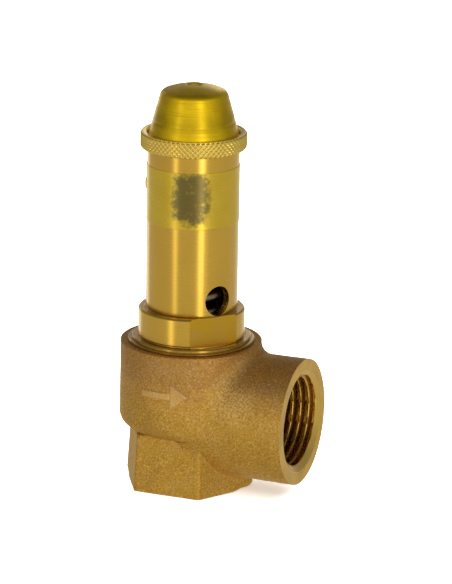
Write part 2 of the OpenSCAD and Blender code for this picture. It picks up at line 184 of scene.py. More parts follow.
def noise(tree, vector, scale, detail=4.0, rough=0.55):
    node = tree.nodes.new("ShaderNodeTexNoise")
    node.inputs["Scale"].default_value = scale
    node.inputs["Detail"].default_value = detail
    node.inputs["Roughness"].default_value = rough
    tree.links.new(vector, node.inputs["Vector"])
    return node.outputs["Fac"]


def ramp(tree, fac, stops):
    node = tree.nodes.new("ShaderNodeValToRGB")
    els = node.color_ramp.elements
    while len(els) < len(stops):
        els.new(0.5)
    for el, (pos, color) in zip(els, stops):
        el.position = pos
        el.color = (*color, 1)
    tree.links.new(fac, node.inputs["Fac"])
    return node.outputs["Color"]


def remap(tree, value, low, high, to_low, to_high):
    node = tree.nodes.new("ShaderNodeMapRange")
    for key, number in (("From Min", low), ("From Max", high), ("To Min", to_low), ("To Max", to_high)):
        node.inputs[key].default_value = number
    tree.links.new(value, node.inputs["Value"])
    return node.outputs["Result"]


def math_node(tree, op, a, b=None):
    node = tree.nodes.new("ShaderNodeMath")
    node.operation = op
    for i, v in enumerate((a, b)):
        if v is None:
            continue
        if isinstance(v, (int, float)):
            node.inputs[i].default_value = v
        else:
            tree.links.new(v, node.inputs[i])
    return node.outputs[0]


def blend_colors(tree, fac, a, b, mode="MIX"):
    node = tree.nodes.new("ShaderNodeMix")
    node.data_type = "RGBA"
    node.blend_type = mode
    for value, sock in ((fac, node.inputs[0]), (a, node.inputs[6]), (b, node.inputs[7])):
        if isinstance(value, (int, float)):
            sock.default_value = value
        elif isinstance(value, tuple):
            sock.default_value = (*value, 1)
        else:
            tree.links.new(value, sock)
    return node.outputs[2]


def dot(tree, vector, direction_vector):
    node = tree.nodes.new("ShaderNodeVectorMath")
    node.operation = "DOT_PRODUCT"
    node.inputs[1].default_value = direction_vector
    tree.links.new(vector, node.inputs[0])
    return node.outputs["Value"]


def lerp(tree, fac, a, b):
    """a where fac is 0, b where it is 1."""
    node = tree.nodes.new("ShaderNodeMix")
    for value, sock in ((fac, node.inputs[0]), (a, node.inputs[2]), (b, node.inputs[3])):
        tree.links.new(value, sock)
    return node.outputs[0]


def bump(tree, height, strength, distance, normal=None):
    node = tree.nodes.new("ShaderNodeBump")
    node.inputs["Strength"].default_value = strength
    node.inputs["Distance"].default_value = distance
    tree.links.new(height, node.inputs["Height"])
    if normal is not None:
        tree.links.new(normal, node.inputs["Normal"])
    return node.outputs["Normal"]


def link(tree, out, bsdf, name):
    tree.links.new(out, bsdf.inputs[name])


# ---------- materials ----------

def crease_painted_shade(tree, obj, speck):
    """Painted shade: a dark line where the barrel's foot meets the hexagon's flats, standing in for the
    crease's shadow.
    """
    split = tree.nodes.new("ShaderNodeSeparateXYZ")
    tree.links.new(obj, split.inputs[0])
    x, y, z = (math_node(tree, "DIVIDE", split.outputs[k], MM) for k in "XYZ")
    curve = math_node(tree, "MULTIPLY", math_node(tree, "MULTIPLY", x, x), CREASE_BEND)
    off = math_node(tree, "SUBTRACT", math_node(tree, "SUBTRACT", z, CREASE_Z), curve)
    off = math_node(tree, "ADD", off, remap(tree, speck, 0.3, 0.7, -0.10, 0.10))
    line = remap(tree, math_node(tree, "ABSOLUTE", off), 0.05, 0.26, 0.62, 0.0)
    line = math_node(tree, "MULTIPLY", line, remap(tree, math_node(tree, "ABSOLUTE", y), 10.8, 11.6, 0, 1))
    return math_node(tree, "MULTIPLY", line, remap(tree, x, 3.2, 5.4, 1, 0))


def shoulder_painted_highlight(tree, obj, speck):
    """Painted highlight: brighter grains in a patch on the shoulder between barrel and outlet."""
    node = tree.nodes.new("ShaderNodeVectorMath")
    node.operation = "DISTANCE"
    node.inputs[1].default_value = [v * MM for v in GLINT_CENTRE]
    tree.links.new(obj, node.inputs[0])
    near = remap(tree, node.outputs["Value"], GLINT_REACH[0] * MM, GLINT_REACH[1] * MM, 0.8, 0.0)
    return math_node(tree, "MULTIPLY", near, remap(tree, speck, 0.44, 0.60, 0.1, 1))


def cast_bronze(name="cast_bronze", painted_highlight=0.0):
    """Sand-cast skin: fine grain with brown oxide in the low spots, a painted sheen by height, a painted
    highlight of brighter grains on the shoulder and a painted shade line at the barrel's foot; a share given
    as the second argument lightens the whole piece as a painted highlight.
    """
    mat, tree, bsdf, obj = shader(name)
    grain = noise(tree, obj, 3600, 2, 0.6)
    speck = noise(tree, obj, 2700, 3, 0.7)
    patch = noise(tree, obj, 150, 4, 0.55)
    base = ramp(tree, speck, [
        (0.29, (0.49, 0.273, 0.056)), (0.45, (0.68, 0.400, 0.082)),
        (0.58, (0.82, 0.500, 0.119)), (0.70, (1.0, 0.75, 0.32)),
    ])
    # painted highlight: the whole piece lighter by the given share, used on the raised arrow
    base = blend_colors(tree, painted_highlight, base, (0.98, 0.70, 0.26))
    tint = ramp(tree, patch, [
        (0.36, (0.90, 0.90, 0.98)), (0.50, (1.0, 1.0, 0.92)), (0.64, (1.0, 1.03, 1.25)),
    ])
    base = blend_colors(tree, 0.85, base, tint, "MULTIPLY")
    # painted sheen by height: yellower low down, greyer towards the top and darker at the shoulder
    height = remap(tree, dot(tree, obj, (0, 0, 1)), FLOOR_Z * MM, SHOULDER_Z * MM, 0, 1)
    painted_sheen = ramp(tree, height, [
        (0.0, (0.96, 0.93, 0.72)), (0.45, (1.0, 0.98, 0.86)),
        (0.85, (0.98, 0.93, 0.98)), (1.0, (0.86, 0.80, 0.95)),
    ])
    base = blend_colors(tree, 1.0, base, painted_sheen, "MULTIPLY")
    # painted highlight: brighter grains on the shoulder
    base = blend_colors(tree, shoulder_painted_highlight(tree, obj, speck), base, (1.0, 0.72, 0.27))
    # painted shade: dark line along the crease at the barrel's foot
    base = blend_colors(tree, crease_painted_shade(tree, obj, speck), base, (0.10, 0.055, 0.014))
    link(tree, base, bsdf, "Base Color")
    bsdf.inputs["Metallic"].default_value = 1.0
    link(tree, remap(tree, grain, 0.3, 0.7, 0.50, 0.72), bsdf, "Roughness")
    low = bump(tree, patch, 0.35, 0.00010)
    mid = bump(tree, speck, 0.60, 0.00006, low)
    link(tree, bump(tree, grain, 0.55, 0.00003, mid), bsdf, "Normal")
    return mat


def turning_marks(tree, obj, lines=5200):
    """Fine rings left by the lathe, which run round Z."""
    return noise(tree, mapped(tree, obj, (3, 3, lines)), 1.0, 3, 0.6)


def corner_painted_shade(tree, obj, spots):
    """Brown painted shade in the bonnet's corners: below the collar and in the groove on top of it."""
    height = remap(tree, dot(tree, obj, (0, 0, 1)), SHADE_Z[0] * MM, SHADE_Z[1] * MM, 0, 1)
    stops = [(0.0, 0.85), (0.22, 0.85), (0.28, 0.0), (0.80, 0.0), (0.83, 0.8), (0.855, 0.8), (0.88, 0.0)]
    shade_band = ramp(tree, height, [(pos, (v, v, v)) for pos, v in stops])
    return math_node(tree, "MULTIPLY", shade_band, remap(tree, spots, 0.3, 0.6, 0.75, 1))


def turned_brass(name, color, rough, aniso, coat=0.45, painted_shade=False, worn=(0.86, 0.50, 0.06)):
    """Turned brass: bright along the axis, with ring marks and a faint brown bloom."""
    mat, tree, bsdf, obj = shader(name)
    rings = turning_marks(tree, obj)
    bloom = noise(tree, obj, 130, 4, 0.55)
    spots = noise(tree, obj, 900, 3, 0.6)
    base = blend_colors(tree, remap(tree, bloom, 0.42, 0.72, 0.0, 0.4), color, worn)
    base = blend_colors(tree, remap(tree, spots, 0.62, 0.78, 0.0, 0.25), base, (0.48, 0.28, 0.05))
    if painted_shade:
        # painted shade in the corners below the collar and in the groove above it
        base = blend_colors(tree, corner_painted_shade(tree, obj, spots), base, (0.42, 0.24, 0.03))
    link(tree, base, bsdf, "Base Color")
    bsdf.inputs["Metallic"].default_value = 1.0
    link(tree, remap(tree, rings, 0.3, 0.7, rough * 0.75, rough * 1.3), bsdf, "Roughness")
    bsdf.inputs["Anisotropic"].default_value = aniso
    tangent = tree.nodes.new("ShaderNodeTangent")
    tangent.direction_type = "RADIAL"
    tangent.axis = "Z"
    link(tree, tangent.outputs[0], bsdf, "Tangent")
    bsdf.inputs["Anisotropic Rotation"].default_value = 0.25
    link(tree, bump(tree, rings, 0.08, 0.00001), bsdf, "Normal")
    bsdf.inputs["Coat Weight"].default_value = coat
    bsdf.inputs["Coat Roughness"].default_value = 0.16
    return mat


def faced_brass(name, color, axis_x):
    """A face cut flat on the lathe: pale, with fine arcs about the bore's axis."""
    mat, tree, bsdf, obj = shader(name)
    comb = tree.nodes.new("ShaderNodeCombineXYZ")
    tree.links.new(bore_radius(tree, obj, axis_x), comb.inputs[0])
    arcs = noise(tree, comb.outputs[0], 5200, 2, 0.5)
    cloud = noise(tree, obj, 260, 4, 0.6)
    base = blend_colors(tree, remap(tree, cloud, 0.4, 0.7, 0.0, 0.5), color, (0.66, 0.42, 0.12))
    link(tree, base, bsdf, "Base Color")
    bsdf.inputs["Metallic"].default_value = 1.0
    link(tree, remap(tree, arcs, 0.3, 0.7, 0.36, 0.52), bsdf, "Roughness")
    link(tree, bump(tree, arcs, 0.35, 0.000012), bsdf, "Normal")
    return mat


def bore_radius(tree, obj, axis_x):
    """Distance from the axis of the outlet (axis_x) or of the inlet."""
    split = tree.nodes.new("ShaderNodeSeparateXYZ")
    tree.links.new(obj, split.inputs[0])
    if axis_x:
        pair = (math_node(tree, "SUBTRACT", split.outputs["Z"], OUTLET_Z * MM), split.outputs["Y"])
    else:
        pair = (split.outputs["X"], split.outputs["Y"])
    return math_node(tree, "SQRT", math_node(tree, "ADD", *(math_node(tree, "MULTIPLY", v, v) for v in pair)))


def thread_brass(name, axis_x):
    """Cut thread: bright crests, with painted shade in the roots that grows deeper into the bore, and in the
    outlet painted shade across the lower half inside the mouth.
    """
    mat, tree, bsdf, obj = shader(name)
    stain = noise(tree, obj, 220, 3, 0.5)
    base = blend_colors(tree, remap(tree, stain, 0.4, 0.7, 0.0, 0.35), (1.0, 0.66, 0.15), (0.90, 0.56, 0.11))
    deep = remap(tree, bore_radius(tree, obj, axis_x), (CREST_R + 0.35) * MM, (ROOT_R - 0.05) * MM, 0.0, 1.0)
    deep = math_node(tree, "ADD", deep, remap(tree, stain, 0.3, 0.7, -0.12, 0.12))
    if axis_x:
        depth = math_node(tree, "SUBTRACT", OUTLET_X * MM, dot(tree, obj, (1, 0, 0)))
    else:
        depth = dot(tree, obj, (0, 0, 1))
    deep = math_node(tree, "MULTIPLY", deep, remap(tree, depth, MOUTH_H * MM, (MOUTH_H + 5) * MM, 0, 1))
    # painted shade in the thread roots, growing deeper into the bore
    base = blend_colors(tree, deep, base, (0.38, 0.22, 0.05))
    if axis_x:
        # painted shade across the lower half of the outlet bore, past the mouth
        lower_painted_shade = remap(tree, dot(tree, obj, (0, 0, 1)), (OUTLET_Z - 7) * MM, (OUTLET_Z + 1) * MM, 0.70, 0.0)
        inside = remap(tree, depth, MOUTH_H * MM, 2 * MOUTH_H * MM, 0, 1)
        lower_painted_shade = math_node(tree, "MULTIPLY", lower_painted_shade, inside)
        base = blend_colors(tree, lower_painted_shade, base, (0.17, 0.09, 0.03))
    link(tree, base, bsdf, "Base Color")
    bsdf.inputs["Metallic"].default_value = 1.0
    link(tree, remap(tree, noise(tree, obj, 400, 2), 0.3, 0.7, 0.22, 0.30), bsdf, "Roughness")
    return mat


def bored_brass():
    """Bored surfaces inside the body: dull brass with fine ring marks."""
    mat, tree, bsdf, obj = shader("bored_brass")
    rings = turning_marks(tree, obj, 3000)
    cloud = noise(tree, obj, 300, 4, 0.6)
    base = blend_colors(tree, remap(tree, cloud, 0.4, 0.7, 0.0, 0.7), (0.80, 0.54, 0.17), (0.52, 0.32, 0.09))
    link(tree, base, bsdf, "Base Color")
    bsdf.inputs["Metallic"].default_value = 1.0
    link(tree, remap(tree, rings, 0.3, 0.7, 0.30, 0.45), bsdf, "Roughness")
    link(tree, bump(tree, rings, 0.3, 0.00001), bsdf, "Normal")
    return mat


def polished_brass():
    """Golden cap: satin gloss over a deep gold, with faint brushing lines round it and painted shade in bands
    by height.
    """
    mat, tree, bsdf, obj = shader("polished_brass")
    rings = noise(tree, mapped(tree, obj, (60, 60, 2400)), 1.0, 3, 0.55)
    cloud = noise(tree, obj, 260, 4, 0.6)
    cloudy = remap(tree, cloud, 0.38, 0.68, 0.0, 0.8)
    base = blend_colors(tree, cloudy, (0.98, 0.67, 0.003), (0.82, 0.52, 0.002))
    # painted shade by height: a darker band low on the side and a slightly darker roof
    height = remap(tree, dot(tree, obj, (0, 0, 1)), CAP_Z[0] * MM, CAP_Z[1] * MM, 0, 1)
    height = math_node(tree, "ADD", height, remap(tree, noise(tree, obj, 380, 4, 0.6), 0.3, 0.7, -0.06, 0.06))
    stops = [(0.0, 1.0), (0.22, 0.92), (0.34, 0.72), (0.48, 0.82), (0.62, 1.0), (0.84, 1.0), (0.95, 0.9)]
    painted_shade_band = ramp(tree, height, [(pos, (v, v, v)) for pos, v in stops])
    base = blend_colors(tree, 1.0, base, painted_shade_band, "MULTIPLY")
    base = blend_colors(tree, remap(tree, rings, 0.52, 0.74, 0.0, 0.55), base, (0.60, 0.36, 0.002))
    link(tree, base, bsdf, "Base Color")
    bsdf.inputs["Metallic"].default_value = 1.0
    link(tree, remap(tree, rings, 0.3, 0.7, 0.26, 0.42), bsdf, "Roughness")
    link(tree, bump(tree, rings, 0.30, 0.00001), bsdf, "Normal")
    bsdf.inputs["Coat Weight"].default_value = 0.25
    bsdf.inputs["Coat Roughness"].default_value = 0.2
    return mat


def label_film():
    """Clear yellowed foil over brass, with a dull dark patch on its front."""
    mat, tree, bsdf, obj = shader("label_film")
    rings = turning_marks(tree, obj)
    cloud = noise(tree, obj, 240, 4, 0.6)
    cloudy = remap(tree, cloud, 0.35, 0.7, 0.0, 0.6)
    base = blend_colors(tree, cloudy, (0.97, 0.67, 0.055), (0.85, 0.575, 0.045))
    across, towards = (dot(tree, obj, direction(STAIN_AZ + turn)) for turn in (90, 0))
    wide = math_node(tree, "ARCTAN2", across, towards)
    wide = math_node(tree, "DIVIDE", wide, math.radians(STAIN_HALF_ANGLE))
    tall = math_node(tree, "SUBTRACT", dot(tree, obj, (0, 0, 1)), STAIN_Z * MM)
    tall = math_node(tree, "DIVIDE", tall, STAIN_HALF_H * MM)
    wide, tall = (math_node(tree, "POWER", math_node(tree, "ABSOLUTE", v), 4) for v in (wide, tall))
    reach = math_node(tree, "ADD", wide, tall)
    reach = math_node(tree, "ADD", reach, remap(tree, noise(tree, obj, 520, 5, 0.7), 0.3, 0.7, -0.75, 0.75))
    stain = remap(tree, reach, 0.30, 1.35, 0.84, 0.0)
    base = blend_colors(tree, stain, base, (0.13, 0.105, 0.045))
    link(tree, base, bsdf, "Base Color")
    bsdf.inputs["Metallic"].default_value = 1.0
    link(tree, remap(tree, rings, 0.3, 0.7, 0.24, 0.34), bsdf, "Roughness")
    link(tree, bump(tree, cloud, 0.15, 0.00004), bsdf, "Normal")
    bsdf.inputs["Coat Weight"].default_value = 0.35
    bsdf.inputs["Coat Roughness"].default_value = 0.12
    return mat


def steel(name, color, rough):
    mat, tree, bsdf, obj = shader(name)
    rings = turning_marks(tree, obj, 3800)
    spots = noise(tree, obj, 420, 4, 0.6)
    base = blend_colors(tree, remap(tree, spots, 0.45, 0.75, 0.0, 0.5), color, (0.34, 0.30, 0.26))
    link(tree, base, bsdf, "Base Color")
    bsdf.inputs["Metallic"].default_value = 1.0
    link(tree, remap(tree, rings, 0.3, 0.7, rough * 0.8, rough * 1.3), bsdf, "Roughness")
    link(tree, bump(tree, rings, 0.2, 0.00001), bsdf, "Normal")
    return mat


def seal_rubber():
    mat, tree, bsdf, obj = shader("seal_rubber")
    dust = noise(tree, obj, 700, 4, 0.6)
    base = ramp(tree, dust, [(0.35, (0.012, 0.012, 0.013)), (0.75, (0.045, 0.043, 0.040))])
    link(tree, base, bsdf, "Base Color")
    link(tree, remap(tree, dust, 0.3, 0.7, 0.55, 0.75), bsdf, "Roughness")
    link(tree, bump(tree, dust, 0.3, 0.00003), bsdf, "Normal")
    return mat


# ---------- body casting ----------

def capped(d_side, d_ends):
    """Distance to a solid bounded by a side and two ends, sharp-edged."""
    return np.minimum(np.maximum(d_side, d_ends), 0) + np.hypot(np.maximum(d_side, 0), np.maximum(d_ends, 0))


def filleted(a, b, r):
    """Union of two distances with a true fillet of radius r."""
    return np.maximum(r, np.minimum(a, b)) - np.hypot(np.maximum(r - a, 0), np.maximum(r - b, 0))


def soft_max(a, b, k):
    h = np.clip(0.5 + 0.5 * (a - b) / k, 0, 1)
    return b + (a - b) * h + k * h * (1 - h)


def casting_distance(x, y, z):
    """Signed distance, roughly, to the raw casting before machining."""
    rad = np.hypot(x, y)
    # barrel with its rounded foot and slight draft; it runs past the rim, which is faced off later
    wall = BARREL_R + (RIM_R - BARREL_R) * np.clip((z - HEX_H) / (RIM_Z - HEX_H), 0, 1)
    half = (RIM_Z + 4 - HEX_H) / 2
    ends = np.abs(z - HEX_H - half) - (half - BARREL_ROUND)
    barrel = capped(rad - (wall - BARREL_ROUND), ends) - BARREL_ROUND
    # hexagon with draft; the two corners on the parting plane are rounder
    af = HEX_HALF - HEX_DRAFT * z
    cos30, sin30, tan30 = math.cos(math.pi / 6), 0.5, math.tan(math.pi / 6)
    out = np.abs(x) - (af - HEX_ROUND) / cos30
    slant = np.abs(x) * cos30 + np.abs(y) * sin30 - af
    slant = np.where((out > 0) & (np.abs(y) < out * tan30), np.hypot(out, y) - HEX_ROUND, slant)
    side = soft_max(np.abs(y) - af, slant, 0.4)
    foot = HEX_FOOT * np.clip(1.6 - np.abs(y) / 3.2, 0.12, 1)
    rounded = np.hypot(np.maximum(side + foot, 0), np.maximum(foot - z, 0))
    side = np.minimum(np.maximum(side, -z), -foot) + rounded
    hexagon = capped(side, z - HEX_H)
    # outlet boss along +X
    boss = capped(np.hypot(y, z - OUTLET_Z) - BOSS_R, np.abs(x - BOSS_MID) - BOSS_HALF)
    d = filleted(barrel, boss, BOSS_FILLET)
    d = filleted(d, hexagon, HEX_FILLET)
    wave = np.sin(0.55 * x + 1.3) * np.sin(0.48 * y + 0.4) * np.sin(0.61 * z + 2.0)
    wave = wave + 0.5 * np.sin(1.31 * x + 0.7 * z) * np.sin(1.17 * z - 0.6 * y)
    return d + 0.033 - 0.022 * wave


def iso_surface(distance, low, high, step):
    """Surface nets: one vertex in each cell that the surface crosses, moved onto the surface."""
    axes = [np.arange(a, b + step, step) for a, b in zip(low, high)]
    grid = np.meshgrid(*axes, indexing="ij")
    d = distance(*grid).astype(np.float32)
    inside = d < 0
    shape = [len(a) - 1 for a in axes]
    corner = [(i, j, k) for i in (0, 1) for j in (0, 1) for k in (0, 1)]
    count = sum(inside[i:i + shape[0], j:j + shape[1], k:k + shape[2]].astype(np.int8) for i, j, k in corner)
    cells = np.argwhere((count > 0) & (count < 8))
    index = np.full(shape, -1, np.int64)
    index[tuple(cells.T)] = np.arange(len(cells))
    verts = np.asarray(low) + (cells + 0.5) * step
    probe = 0.02
    for _ in range(5):
        value = distance(*verts.T)
        ahead = [distance(*(verts + e).T) - distance(*(verts - e).T) for e in np.eye(3) * probe]
        slope = np.stack(ahead, -1) / (2 * probe)
        length = np.maximum((slope ** 2).sum(-1, keepdims=True), 0.2)
        move = value[:, None] * slope / length
        verts = verts - np.clip(move, -step, step)
    faces = []
    for axis in range(3):
        a, b = [(1, 2), (2, 0), (0, 1)][axis]
        lower = [slice(None)] * 3
        upper = [slice(None)] * 3
        lower[axis], upper[axis] = slice(0, -1), slice(1, None)
        first, second = inside[tuple(lower)], inside[tuple(upper)]
        edges = np.argwhere(first != second)
        for k in (a, b):
            edges = edges[(edges[:, k] > 0) & (edges[:, k] < shape[k])]
        out = first[tuple(edges.T)]
        ring = []
        for da, db in ((0, 0), (1, 0), (1, 1), (0, 1)):
            c = edges.copy()
            c[:, a] -= 1 - da
            c[:, b] -= 1 - db
            ring.append(index[tuple(c.T)])
        quad = np.stack(ring, -1)
        quad[~out] = quad[~out][:, ::-1]
        faces.append(quad)
    faces = np.concatenate(faces)
    return verts, faces[(faces >= 0).all(1)].tolist()


def slice_flat(obj, point, normal, material_index):
    """Faces the casting off at a plane and closes it with a flat face."""
    bm = bmesh.new()
    bm.from_mesh(obj.data)
    geom = bm.verts[:] + bm.edges[:] + bm.faces[:]
    plane = Vector(point) * MM
    cut_geom = bmesh.ops.bisect_plane(bm, geom=geom, plane_co=plane, plane_no=normal, clear_outer=True)
    rim = [e for e in cut_geom["geom_cut"] if isinstance(e, bmesh.types.BMEdge)]
    made = bmesh.ops.contextual_create(bm, geom=rim)
    for f in made["faces"]:
        f.material_index = material_index
    bmesh.ops.recalc_face_normals(bm, faces=bm.faces)
    bm.to_mesh(obj.data)
    bm.free()


def thread_cutter(name, length, material, segments=144):
    """A male thread with its countersink, to be taken out of the casting; mouth at z = 0, going to +z."""
    step = PITCH / 14
    z = np.arange(-0.8, length + step, step)
    theta = np.arange(segments) * 2 * math.pi / segments
    zz, tt = np.meshgrid(z, theta)
    phase = np.mod(zz / PITCH - tt / (2 * math.pi), 1.0)
    tooth = 1 - np.abs(2 * phase - 1)
    tooth = np.clip((tooth - 0.18) / 0.76, 0, 1)
    tooth = 0.5 * tooth + 0.5 * tooth * tooth * (3 - 2 * tooth)
    fade = np.clip((length - zz) / 2.2, 0, 1)
    r = CREST_R + (ROOT_R - CREST_R) * tooth * fade
    sink = MOUTH_R - (MOUTH_R - CREST_R) * zz / MOUTH_H
    r = np.where(zz < MOUTH_H, np.maximum(r, np.minimum(sink, MOUTH_R + 0.8)), r)
    n = len(z)
    verts = np.stack([r * np.cos(tt), r * np.sin(tt), zz], -1).reshape(-1, 3)
    verts = np.concatenate([verts, [[0, 0, z[0]], [0, 0, z[-1]]]])
    low, high = segments * n, segments * n + 1
    faces = []
    for i in range(segments):
        k = (i + 1) % segments
        faces += [(i * n + j, k * n + j, k * n + j + 1, i * n + j + 1) for j in range(n - 1)]
        faces += [(low, k * n, i * n), (high, i * n + n - 1, k * n + n - 1)]
    return piece_from(name, verts, faces, [material], 60)


def chamber_cutter(material):
    """Throat, seat and chamber in one turned shape."""
    profile = [
        (0, 9.0), (SEAT_BORE_R, 9.0), (SEAT_BORE_R, SEAT_Z - 0.2), (SEAT_BORE_R + 0.2, SEAT_Z),
        (SEAT_R - 0.3, SEAT_Z), (SEAT_R, SEAT_Z - 0.3),
        (SEAT_R + 0.2, FLOOR_Z + 0.4), (SEAT_R + 0.6, FLOOR_Z),
        (CHAMBER_R - 0.6, FLOOR_Z), (CHAMBER_R, FLOOR_Z + 0.6), (CHAMBER_R, SHOULDER_Z),
        (BONNET_BORE_R, SHOULDER_Z), (BONNET_BORE_R, RIM_Z - 0.5),
        (BONNET_BORE_R + 0.7, RIM_Z + 0.2), (BONNET_BORE_R + 0.7, RIM_Z + 1), (0, RIM_Z + 1),
    ]
    verts, faces = turned(profile, 144, closed=True)
    return piece_from("chamber_cutter", verts, faces, [material], 40)


def port_cutter(material):
    """Passage from the chamber to the outlet thread, flat along the chamber floor."""
    n = 64
    ring = []
    for i in range(n):
        a = 2 * math.pi * i / n
        y, z = PORT_R * math.cos(a), OUTLET_Z + PORT_R * math.sin(a)
        ring.append((y, max(z, FLOOR_Z + 0.05)))
    ends = (SEAT_R + 1.2, OUTLET_X - OUTLET_LEN + 0.6)
    verts = [(x, y, z) for x in ends for y, z in ring]
    faces = [(i, (i + 1) % n, n + (i + 1) % n, n + i) for i in range(n)]
    faces += [tuple(range(n))[::-1], tuple(range(n, 2 * n))]
    return piece_from("port_cutter", verts, faces, [material], 40)


def arrow_distance(x, z):
    """Signed distance, roughly, to the arrow's outline; x runs along the arrow."""
    half, neck = ARROW_LEN / 2, ARROW_LEN / 2 - ARROW_HEAD
    bar = np.maximum(np.maximum(-half - x, x - neck - 0.2), np.abs(z) - ARROW_BAR / 2)
    slope = math.atan2(ARROW_HALF_HEAD, ARROW_HEAD)
    head = np.maximum(neck - x, np.abs(z) * math.cos(slope) + (x - half) * math.sin(slope))
    return np.minimum(bar, head)


def make_arrow(mats):
    """Raised flow arrow: a height patch bent round the barrel, with soft cast edges."""
    step = 0.22
    xs = np.arange(-ARROW_LEN / 2 - 0.8, ARROW_LEN / 2 + 0.8, step)
    zs = np.arange(-ARROW_HALF_HEAD - 0.8, ARROW_HALF_HEAD + 0.8, step)
    x, z = np.meshgrid(xs, zs, indexing="ij")
    rise = np.clip((0.30 - arrow_distance(x, z)) / 0.62, 0, 1)
    low = RIM_R - 0.25
    front = low + (ARROW_R - low) * rise * rise * (3 - 2 * rise)
    angle = x / RIM_R
    back = front * 0 + low - 0.6
    sheets = [np.stack([r * np.sin(angle), -r * np.cos(angle), z + ARROW_Z], -1).reshape(-1, 3)
              for r in (front, back)]
    nx, nz = len(xs), len(zs)
    n = nx * nz
    faces = []
    for i in range(nx - 1):
        for j in range(nz - 1):
            quad = (i * nz + j, (i + 1) * nz + j, (i + 1) * nz + j + 1, i * nz + j + 1)
            faces += [quad, tuple(n + v for v in reversed(quad))]
    rim = [i * nz for i in range(nx)] + [(nx - 1) * nz + j for j in range(1, nz)]
    rim += [i * nz + nz - 1 for i in range(nx - 2, -1, -1)] + list(range(nz - 2, 0, -1))
    faces += [(a, n + a, n + b, b) for a, b in zip(rim, rim[1:] + rim[:1])]
    # the arrow's bronze is lightened as a painted highlight
    return piece_from("cast_flow_arrow", np.concatenate(sheets), faces, [mats["painted_highlight"]], 60)


def make_body(mats):
    step = 0.30
    verts, faces = iso_surface(casting_distance, (-16.5, -16.5, -1.5), (27.5, 16.5, 33.0), step)
    skins = [mats[k] for k in ("cast", "faced_x", "faced_z", "rim")]
    obj = piece_from("valve_body_casting", verts, faces, skins, 60)
    slice_flat(obj, (OUTLET_X, 0, 0), (1, 0, 0), 1)
    slice_flat(obj, (0, 0, 0), (0, 0, -1), 2)
    slice_flat(obj, (0, 0, RIM_Z), (0, 0, 1), 3)
    cut(obj, chamber_cutter(mats["bore"]))
    cut(obj, port_cutter(mats["bore"]))
    cut(obj, thread_cutter("inlet_cutter", INLET_LEN, mats["thread_z"]))
    outlet = thread_cutter("outlet_cutter", OUTLET_LEN, mats["thread_x"])
    mouth = Matrix.Translation((OUTLET_X * MM, 0, OUTLET_Z * MM))
    outlet.data.transform(mouth @ Matrix.Rotation(-math.pi / 2, 4, "Y"))
    cut(obj, outlet)
    smooth_by_angle(obj.data, 42)
    return obj


# ---------- turned parts ----------

def make_bonnet(mats):
    profile = [
        # spigot with its ring groove
        (TUBE_BORE_R, 27.3), (TUBE_BORE_R + 0.3, 27.0), (12.1, 27.0), (12.5, 27.4), (12.5, 28.7),
        (11.46, 28.7), (11.46, 30.1), (12.5, 30.1), (12.5, 31.02),
        # lip on the body's rim, then the step up to the collar
        (13.1, 31.02), (13.3, 31.2), (13.3, 31.45), (13.15, 31.6), (12.75, 31.62), (12.68, 31.5),
        (12.55, 31.5), (12.5, 31.7), (12.5, 32.0), (12.35, 32.18), (11.45, 32.2), (11.3, 32.05),
        (11.05, 32.05), (11.0, 32.3),
        # collar, the groove on top of it, and the tube
        (COLLAR_R, 32.55), (COLLAR_R, 37.95), (10.9, COLLAR_TOP), (9.95, COLLAR_TOP), (9.75, 38.2),
        (9.6, COLLAR_TOP), (TUBE_R, 38.5),
        (TUBE_R, TUBE_TOP - 0.3), (TUBE_R - 0.3, TUBE_TOP),
        (TUBE_BORE_R + 0.3, TUBE_TOP), (TUBE_BORE_R, TUBE_TOP - 0.3),
    ]
    obj = turned_piece("bonnet_spring_housing", profile, 256, [mats["tube"]])
    for side in (-1, 1):
        block = [(x, side * y, z) for x in (-13.0, 13.0) for y in (COLLAR_HALF, 13.5)
                 for z in (COLLAR_Z + 0.08, COLLAR_TOP + 0.4)]
        quads = [(0, 1, 3, 2), (4, 6, 7, 5), (0, 4, 5, 1), (2, 3, 7, 6), (0, 2, 6, 4), (1, 5, 7, 3)]
        box = piece_from("flat_cutter", block, quads, [mats["flat"]])
        box.data.transform(Matrix.Rotation(math.radians(COLLAR_AZ), 4, "Z"))
        cut(obj, box)
    vent = [(0, 4.0), (VENT_R, 4.0), (VENT_R, TUBE_R - 0.45), (VENT_R + 0.22, TUBE_R + 0.1),
            (VENT_R + 0.22, 14.0), (0, 14.0)]
    hole = piece_from("vent_cutter", *turned(vent, 72), [mats["tube"]])
    cut(obj, aim_along(hole, VENT_AZ, VENT_Z))
    pin = [(0, 4.0), (PIN_R + 0.02, 4.0), (PIN_R + 0.02, 14.0), (0, 14.0)]
    cut(obj, aim_along(piece_from("pin_cutter", *turned(pin, 48), [mats["tube"]]), PIN_AZ, PIN_Z))
    smooth_by_angle(obj.data, 18)
    return obj


def make_label(mats):
    low, high = LABEL_Z, LABEL_Z + LABEL_H
    inner, outer = TUBE_R + 0.01, TUBE_R + LABEL_T
    outline = [(inner, low), (outer - 0.03, low), (outer, low + 0.05),
               (outer, high - 0.05), (outer - 0.03, high), (inner, high)]
    profile = fine(outline, 0.6)

    def lift(theta, r, z):
        crease = 0.012 * np.sin(9 * theta + 0.9 * z) * np.sin(1.1 * z + 2 * theta)
        return np.where(r > inner + 0.02, crease - 0.012, 0)

    obj = turned_piece("label_film_band", profile, 256, [mats["label"]], shift=lift)
    pin = [(0, 4.0), (PIN_R + 0.08, 4.0), (PIN_R + 0.08, 14.0), (0, 14.0)]
    cut(obj, aim_along(piece_from("pin_cutter", *turned(pin, 48), [mats["label"]]), PIN_AZ, PIN_Z))
    smooth_by_angle(obj.data, 30)
    return obj


